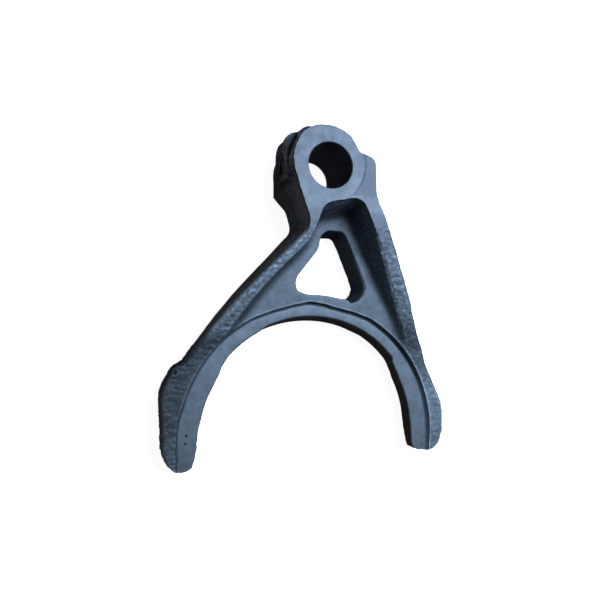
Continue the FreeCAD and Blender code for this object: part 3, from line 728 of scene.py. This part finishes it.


# %% [markdown]
# ## Where the skin is dark or bright
#
# Hollows are painted darker as painted shade, and peaks lighter, partly as rubbed wear and partly
# as painted highlight. A hollow is found on the mesh itself: the middle of a point's neighbours
# lies above it. Spreading that value over more neighbours gives the painted shade in the corners.

# %% Find hollows and peaks
STEEPEST = 0.3
BAND_WIDTH = 10
mesh = fork.data
count = len(mesh.vertices)
pairs = np.empty(len(mesh.edges) * 2, int)
mesh.edges.foreach_get("vertices", pairs)
first, second = pairs.reshape(-1, 2).T
degree = np.bincount(pairs, minlength=count)[:, None]


def sum_over_edges(at_first, at_second):
    total = np.zeros((count, at_first.shape[1]))
    np.add.at(total, first, at_first)
    np.add.at(total, second, at_second)
    return total


def spread(values):
    return sum_over_edges(values[second], values[first]) / degree


places, normals = np.empty(count * 3), np.empty(count * 3)
mesh.vertices.foreach_get("co", places)
mesh.vertices.foreach_get("normal", normals)
places, normals = places.reshape(-1, 3), normals.reshape(-1, 3)
offset = spread(places) - places
edge_length = np.linalg.norm(places[first] - places[second], axis=1)[:, None]
reach = sum_over_edges(edge_length, edge_length)
hollow = (offset * normals).sum(1)[:, None] * degree / reach
fine_hollows = spread(np.clip(hollow, -STEEPEST, STEEPEST))
# the broad hollows serve only as painted shade in the corners
shade_bands = fine_hollows
for _ in range(BAND_WIDTH):
    shade_bands = spread(shade_bands)
print("hollows", float(hollow.min()), float(hollow.max()), float(shade_bands.max()))


# %% [markdown]
# The tone of each forged point is one number: how bright the steel is there, painted light and
# shade included. The ribs and the right lip are brighter, the left lip is darker with painted
# shade, less so at its tip, and the web lies between. The upper part of the right lip is dark as
# well, and the skin at the foot of the hub is darkened by painted shade.

# %% Tone by the kind of skin
WEB_TONE, RIB_GAIN, RIGHT_LIP_GAIN = 0.74, 0.44, 0.42
# painted shade on the left lip and at the foot of the hub
LEFT_LIP_SHADE, LEFT_TIP_GAIN = 0.3, 0.2
UPPER_RIGHT_LOSS, HUB_FOOT_SHADE = 0.5, 0.3


def kind_tone(place, rib, left_lip, right_lip):
    at_tip = ramp(-place.y, 100.0, 112.0)
    tone = WEB_TONE + RIB_GAIN * rib + RIGHT_LIP_GAIN * right_lip
    # painted shade darkens the left lip, less towards its tip
    tone -= (LEFT_LIP_SHADE - LEFT_TIP_GAIN * at_tip) * left_lip
    upper = ramp(-place.y, 55.0, 66.0) * (1 - ramp(-place.y, 78.0, 92.0))
    tone *= 1 - UPPER_RIGHT_LOSS * upper * ramp(place.x, 30.0, 38.0)
    # painted shade at the foot of the hub
    hub_foot_shade = ramp(place.y, -30.0, -18.0) * (1 - ramp(place.z, 20.0, 26.0))
    return tone * (1 - HUB_FOOT_SHADE * hub_foot_shade)


# %% [markdown]
# Walls get painted light and shade by the way they face. Those of the lobe and of the left arm
# are painted bright, the lobe's top and the inner walls of the right rib get painted shade.

# %% Painted light and shade by the way a wall faces
# painted light on the walls of the lobe and the left arm, painted shade on the lobe's top and the
# rib's inner walls
LOBE_WALL_PAINTED_LIGHT, LOBE_TOP_PAINTED_SHADE = 2.2, 0.75
LEFT_WALL_PAINTED_LIGHT, INNER_WALL_PAINTED_SHADE = 1.2, 0.55


def lobe_share(place):
    return ramp(-place.x, 6.0, 9.0) * ramp(place.y, -2.0, 4.0)


def wall_light_and_shade(place, normal, rib):
    top = ramp(normal.z, 0.1, 0.7)
    # painted light on the lobe's walls, painted shade on its top
    tone = 1 + lobe_share(place) * (LOBE_WALL_PAINTED_LIGHT * (1 - top) - LOBE_TOP_PAINTED_SHADE * top)
    # painted light on the walls that face left
    left_wall = ramp(-normal.x, 0.5, 0.9) * ramp(-place.y, -6.0, 20.0)
    # painted shade on the inner walls of the right rib
    inner_wall = ramp(-normal.x, 0.05, 0.5) * ramp(place.x, 8.0, 14.0) * rib
    return tone * (1 + LEFT_WALL_PAINTED_LIGHT * left_wall) * (1 - INNER_WALL_PAINTED_SHADE * inner_wall)


# %% [markdown]
# Then come stains a few millimetres wide, specks under a millimetre, the painted shade in hollows
# and corners, and the lighter peaks, partly rubbed wear and partly painted highlight. On the left
# lip the peaks gain little. Close under the hub's face the skin takes on the tone of the face, so
# that the two meet without a border, and that tone grows towards the hub's lower end as painted
# light.

# %% Tone of the skin
STAIN_CELL, STAIN = 3.5, 0.18
SPECK_CELL, SPECK = 0.8, 0.16
# strengths of the painted shade in hollows and corners, and of the painted highlight on peaks
HOLLOW_SHADE, HOLLOW_SHADE_LEFT, HOLLOW_SHADE_SCALY, CORNER_SHADE = 3.0, 3.0, 5.0, 7.0
LEFT_PEAK_HIGHLIGHT_LOSS = 0.8
DARKEST, BRIGHTEST, BRIGHTEST_LOBE = 0.12, 2.2, 2.3
HUB_SHARE, HUB_END_LIGHT = 0.85, 0.12


def skin_tone(place, normal, fine, broad):
    rib, left_lip, right_lip = skin_kind(place)
    tone = kind_tone(place, rib, left_lip, right_lip) * wall_light_and_shade(place, normal, rib)
    tone *= 1 + STAIN * noise.fractal(place / STAIN_CELL, *FRACTAL) \
        + SPECK * noise.noise(place / SPECK_CELL)
    # painted shade in the hollows and corners, painted highlight on the peaks
    shade_in_hollows = HOLLOW_SHADE + HOLLOW_SHADE_LEFT * left_lip + HOLLOW_SHADE_SCALY * max(rib, right_lip)
    peak_highlight = (1 - LEFT_PEAK_HIGHLIGHT_LOSS * left_lip) * min(fine, 0.0)
    tone *= math.exp(-shade_in_hollows * (max(fine, 0.0) + peak_highlight) - CORNER_SHADE * max(broad, 0.0))
    hub = ramp(place.z, 27.8, 29.6)
    # painted light: the face's tone grows towards the hub's lower end
    face_tone = 1.0 + HUB_END_LIGHT * ramp(-place.y, 15.0, 22.0)
    tone += (face_tone - tone) * hub * HUB_SHARE
    return min(max(tone, DARKEST), BRIGHTEST + BRIGHTEST_LOBE * lobe_share(place)), hub


# %% [markdown]
# The mesh keeps both numbers in a colour attribute, red for the tone and green for the share of
# the hub's face, and the materials read them from there. The tone follows the surface itself, so
# it needs no texture space. The tone carries the painted light and shade as well as the stains and
# specks.

# %% Store the tone on the mesh
tones = mesh.color_attributes.new("tone", "FLOAT_COLOR", "POINT")
hollow_pairs = zip(fine_hollows[:, 0], shade_bands[:, 0])
for vertex, item, (fine, broad) in zip(mesh.vertices, tones.data, hollow_pairs):
    tone, hub = skin_tone(vertex.co, vertex.normal, fine, broad)
    item.color = (tone, hub, 0.0, 1.0)
print("tone", round(min(item.color[0] for item in tones.data), 2),
      "to", round(max(item.color[0] for item in tones.data), 2))


# %% [markdown]
# Machined faces keep a crisp border. A face counts as machined when it lies in one of the cut
# planes, on the wall of the jaw or in one of the holes.

# %% Find the machined faces
CUT_LEVELS = (0.0, PAD_BACK, PAD_FRONT, HUB_FACE)
IN_PLANE, FLATNESS = 0.02, 0.999
NEAR = 0.1
WALL_DEPTH, TIP_REACH = 3.2, 9
BORE_MOUTH, SCREW_MOUTH, FLAT_SLACK = 0.7, 1.2, 0.05
SCREW_SIDE = -5


def is_machined(place, normal):
    if abs(normal.z) > FLATNESS and min(abs(place.z - level) for level in CUT_LEVELS) < IN_PLANE:
        return True
    in_jaw = (place.xy - JAW.xy).length < PAD_RADIUS + WALL_DEPTH and place.y > JAW.y - TIP_REACH
    if in_jaw and PAD_BACK - NEAR < place.z < PAD_FRONT + NEAR:
        return True
    if place.xy.length < BORE_RADIUS + BORE_MOUTH:
        return True
    from_screw = math.hypot(place.y - SCREW.y, place.z - SCREW.z)
    on_flat = from_screw < FLAT_RADIUS + NEAR and place.x < SCREW.x + FLAT_SLACK
    return place.x < SCREW_SIDE and (on_flat or from_screw < SCREW_RADIUS + SCREW_MOUTH)


sides = {}
for face in mesh.polygons:
    face.material_index = int(is_machined(face.center, face.normal))
    for key in face.edge_keys:
        sides.setdefault(key, set()).add(face.material_index)
print(sum(face.material_index for face in mesh.polygons), "machined faces of", len(mesh.polygons))

# %% [markdown]
# ## Finish of the mesh
#
# The mesh goes back to metres and stays inside the CAD box. Everything is shaded smooth but real
# edges, and the borders of the machined faces, which would smear otherwise.

# %% Bring the fork to metres
SHARP_ANGLE = 35
fork.data.transform(Matrix.Scale(MM, 4))
low, high = CAD_BOX
for vertex in fork.data.vertices:
    for axis in range(3):
        vertex.co[axis] = min(max(vertex.co[axis], low[axis]), high[axis])
fork.data.update()
pick(fork)
bpy.ops.object.shade_smooth_by_angle(angle=math.radians(SHARP_ANGLE))
borders = 0
for edge in fork.data.edges:
    if len(sides.get(edge.key, ())) > 1:
        edge.use_edge_sharp = True
        borders += 1
print("finished mesh", triangles(fork), "triangles,", borders, "border edges")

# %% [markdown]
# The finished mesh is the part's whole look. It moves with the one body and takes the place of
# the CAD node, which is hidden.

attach(fork, "root")
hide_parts("shift_fork")
print("piece", fork.name)


# %% [markdown]
# ## Materials
#
# Colours are written as sRGB hex values and turned to linear ones. One helper adds a node of any
# kind: settings are sockets or properties by name, or sockets by number, where a node has several
# of one name, and links join sockets of other nodes to its own.

# %% Material helpers
def linear(code):
    channels = []
    for start in (1, 3, 5):
        value = int(code[start:start + 2], 16) / 255
        value = value / 12.92 if value <= 0.04045 else ((value + 0.055) / 1.055) ** 2.4
        channels.append(value)
    return (*channels, 1.0)


def new_material(name):
    material = bpy.data.materials.new(name)
    material.use_nodes = True
    tree = material.node_tree
    shader = tree.nodes["Principled BSDF"]
    return material, tree, shader


def add_node(tree, kind, settings=(), links=()):
    made = tree.nodes.new(kind)
    for name, value in dict(settings).items():
        if isinstance(name, int) or name in made.inputs.keys():
            made.inputs[name].default_value = value
        else:
            setattr(made, name, value)
    for name, socket in dict(links).items():
        tree.links.new(socket, made.inputs[name])
    return made


# a Mix node has sockets for numbers, vectors and colours: these are its share and its colours
SHARE, FIRST_COLOUR, SECOND_COLOUR, MIXED = 0, 6, 7, 2

# %% [markdown]
# The forged skin is carbon steel, hammered hot and shot-blasted clean. Shot leaves the metal grey
# and matt, with a fine grain that breaks every highlight up, and a thin film of oil and scale
# cools it to blue-grey. The film hides some of the metal, so the shader is less than fully
# metallic. A noise texture gives the grain, because the form below it is in the mesh already.

# %% Forged steel
FILMED, BLASTED = 0.7, 0.6
# Shot of half a millimetre leaves dimples of about 0.2 mm. That is too fine to show in the
# render, so they are drawn at 0.56 mm, which is 1800 to the metre.
SHOT_PER_METRE = 1800.0
steel, tree, shader = new_material("forged_steel_shot_blasted")
shader.inputs["Metallic"].default_value = FILMED
shader.inputs["Roughness"].default_value = BLASTED
coords = add_node(tree, "ShaderNodeTexCoord")
tone = add_node(tree, "ShaderNodeAttribute", {"attribute_name": "tone"})
parts = add_node(tree, "ShaderNodeSeparateColor", (), {"Color": tone.outputs["Color"]})
ground = add_node(tree, "ShaderNodeMix",
                  {"data_type": "RGBA", FIRST_COLOUR: linear("#6C8195"),
                   SECOND_COLOUR: linear("#637386")},
                  {SHARE: parts.outputs["Green"]})
toned = add_node(tree, "ShaderNodeVectorMath", {"operation": "SCALE"},
                 {"Vector": ground.outputs[MIXED], "Scale": parts.outputs["Red"]})
# the tone scales the colour, and with it the painted light and shade
tree.links.new(toned.outputs["Vector"], shader.inputs["Base Color"])
grit = add_node(tree, "ShaderNodeTexNoise", {"Scale": SHOT_PER_METRE, "Detail": 3.0},
                {"Vector": coords.outputs["Object"]})
bump = add_node(tree, "ShaderNodeBump", {"Strength": 0.35, "Distance": 0.2 * MM},
                {"Height": grit.outputs["Fac"]})
tree.links.new(bump.outputs["Normal"], shader.inputs["Normal"])
print(steel.name, len(tree.nodes), "nodes")

# %% [markdown]
# The cut faces are the same steel, milled and bored, then handled with oily hands. They are
# flatter and a little glossier than the skin, and oil lies on them in soft clouds a few
# millimetres wide. The hub's face, which is the highest, is a shade darker than the pads.

# %% Milled steel
MILLED = 0.55
# clouds of oil 3.8 mm wide; marks of the mill are 0.1 to 0.2 mm apart on the real part, too fine
# to show, so they are drawn as a grain of 0.67 mm
CLOUDS_PER_METRE, MARKS_PER_METRE = 260.0, 1500.0
machined, tree, shader = new_material("milled_steel_oiled")
shader.inputs["Metallic"].default_value = FILMED
shader.inputs["Roughness"].default_value = MILLED
coords = add_node(tree, "ShaderNodeTexCoord")
split = add_node(tree, "ShaderNodeSeparateXYZ", (), {"Vector": coords.outputs["Object"]})
on_hub = add_node(tree, "ShaderNodeMapRange", {"From Min": 20 * MM, "From Max": 28 * MM},
                  {"Value": split.outputs["Z"]})
ground = add_node(tree, "ShaderNodeMix",
                  {"data_type": "RGBA", FIRST_COLOUR: linear("#697C8F"),
                   SECOND_COLOUR: linear("#617182")},
                  {SHARE: on_hub.outputs["Result"]})
cloud = add_node(tree, "ShaderNodeTexNoise",
                 {"Scale": CLOUDS_PER_METRE, "Detail": 4.0, "Roughness": 0.6},
                 {"Vector": coords.outputs["Object"]})
shade = add_node(tree, "ShaderNodeMapRange",
                 {"From Min": 0.3, "From Max": 0.7, "To Min": 0.78, "To Max": 1.22},
                 {"Value": cloud.outputs["Fac"]})
clouded = add_node(tree, "ShaderNodeVectorMath", {"operation": "SCALE"},
                   {"Vector": ground.outputs[MIXED], "Scale": shade.outputs["Result"]})
tree.links.new(clouded.outputs["Vector"], shader.inputs["Base Color"])
grit = add_node(tree, "ShaderNodeTexNoise", {"Scale": MARKS_PER_METRE, "Detail": 3.0},
                {"Vector": coords.outputs["Object"]})
bump = add_node(tree, "ShaderNodeBump", {"Strength": 0.2, "Distance": 0.1 * MM},
                {"Height": grit.outputs["Fac"]})
tree.links.new(bump.outputs["Normal"], shader.inputs["Normal"])
print(machined.name, len(tree.nodes), "nodes")

# %% [markdown]
# Each face already says by its index whether it is forged or machined. Clearing the slots sets
# the indices back, so they are kept aside for a moment.

# %% Give the faces their material
indices = [face.material_index for face in fork.data.polygons]
fork.data.materials.clear()
fork.data.materials.append(steel)
fork.data.materials.append(machined)
for face, index in zip(fork.data.polygons, indices):
    face.material_index = index
print(indices.count(0), "forged and", indices.count(1), "milled faces")

# %% [markdown]
# ## Floor, light and camera
#
# The floor is matt white paper. It glows a little by itself, so that it is as pale as the paper
# behind a catalogue picture, and it is hidden from diffuse and glossy rays, because its glow
# would light the fork from below.

# %% Floor
FLOOR_SIDE = 6
PAPER_ROUGHNESS, PAPER_GLOW = 0.9, 0.93
bpy.ops.object.select_all(action="DESELECT")
bpy.ops.mesh.primitive_plane_add(size=FLOOR_SIDE, location=(0, 0, 0))
floor = bpy.context.active_object
floor.name = "studio_floor"
paper, tree, shader = new_material("pale_paper")
shader.inputs["Base Color"].default_value = linear("#F4F4F2")
shader.inputs["Roughness"].default_value = PAPER_ROUGHNESS
shader.inputs["Emission Color"].default_value = linear("#FFFFFF")
shader.inputs["Emission Strength"].default_value = PAPER_GLOW
floor.data.materials.append(paper)
floor.visible_diffuse = False
floor.visible_glossy = False
print("floor", FLOOR_SIDE, "m wide")


# %% [markdown]
# One small square light stands high on the right and draws the short shades under the ribs. Two
# broad, weak ones stand low, a warm one in front on the left and a cool one behind on the right.
# They reach the walls and hardly touch the faces.

# %% Lights
COOL, WARM = "#F2F6FF", "#FFF6EC"
TARGET = Vector((0.0, -0.05, 0.01))


def new_light(name, place, width, height, power, colour):
    data = bpy.data.lights.new(name, "AREA")
    data.shape = "RECTANGLE"
    data.size, data.size_y = width, height
    data.energy = power
    data.color = linear(colour)[:3]
    light = bpy.data.objects.new(name, data)
    bpy.context.scene.collection.objects.link(light)
    light.location = place
    light.rotation_euler = (TARGET - Vector(place)).to_track_quat("-Z", "Y").to_euler()
    print(name, power, "W")


new_light("key", (0.165, 0.08, 0.48), 0.22, 0.22, 2.2, COOL)
new_light("fill", (-0.50, -0.28, 0.07), 0.5, 0.2, 0.18, WARM)
new_light("back_fill", (0.35, 0.45, 0.07), 0.5, 0.2, 0.9, COOL)

# %% [markdown]
# The world lights the fork with a weak warm glow from everywhere. The camera sees a pale wall in
# its place, so that a low view has no dark sky. The Light Path node tells the two apart.

# %% World
GLOW, WALL = 0.035, 0.95
world = bpy.data.worlds.new("studio")
bpy.context.scene.world = world
world.use_nodes = True
tree = world.node_tree
sky = tree.nodes["Background"]
sky.inputs["Color"].default_value = (1.0, 0.68, 0.5, 1.0)
sky.inputs["Strength"].default_value = GLOW
wall = add_node(tree, "ShaderNodeBackground", {"Color": linear("#F4F4F2"), "Strength": WALL})
rays = add_node(tree, "ShaderNodeLightPath")
both = add_node(tree, "ShaderNodeMixShader", (),
                {0: rays.outputs["Is Camera Ray"], 1: sky.outputs["Background"],
                 2: wall.outputs["Background"]})
tree.links.new(both.outputs["Shader"], tree.nodes["World Output"].inputs["Surface"])
print(world.name, len(tree.nodes), "nodes")

# %% [markdown]
# The camera was fitted to the two ends of the bore and to the jaw, as they lie in the
# photograph. Its three axes and its place are given in metres, and its focal length in pixels of
# a square picture.

# %% Camera
RIGHT = Vector((0.95282, 0.01656, 0.30308))
UP = Vector((-0.03039, 0.99870, 0.04095))
BACK = Vector((-0.30201, -0.04823, 0.95208))
EYE = Vector((-0.07644, -0.06330, 0.23404))
FOCAL_PX, FRAME_PX, SENSOR = 566.38, 600, 36.0
lens = bpy.data.cameras.new("camera")
lens.sensor_width = SENSOR
lens.lens = FOCAL_PX / FRAME_PX * SENSOR
lens.clip_start, lens.clip_end = 0.01, 20
camera = bpy.data.objects.new("camera", lens)
bpy.context.scene.collection.objects.link(camera)
turn = Matrix((RIGHT, UP, BACK)).transposed()
camera.matrix_world = Matrix.Translation(EYE) @ turn.to_4x4()
bpy.context.scene.camera = camera
bpy.context.scene.view_settings.view_transform = "Standard"
print("lens", round(lens.lens, 2), "mm")
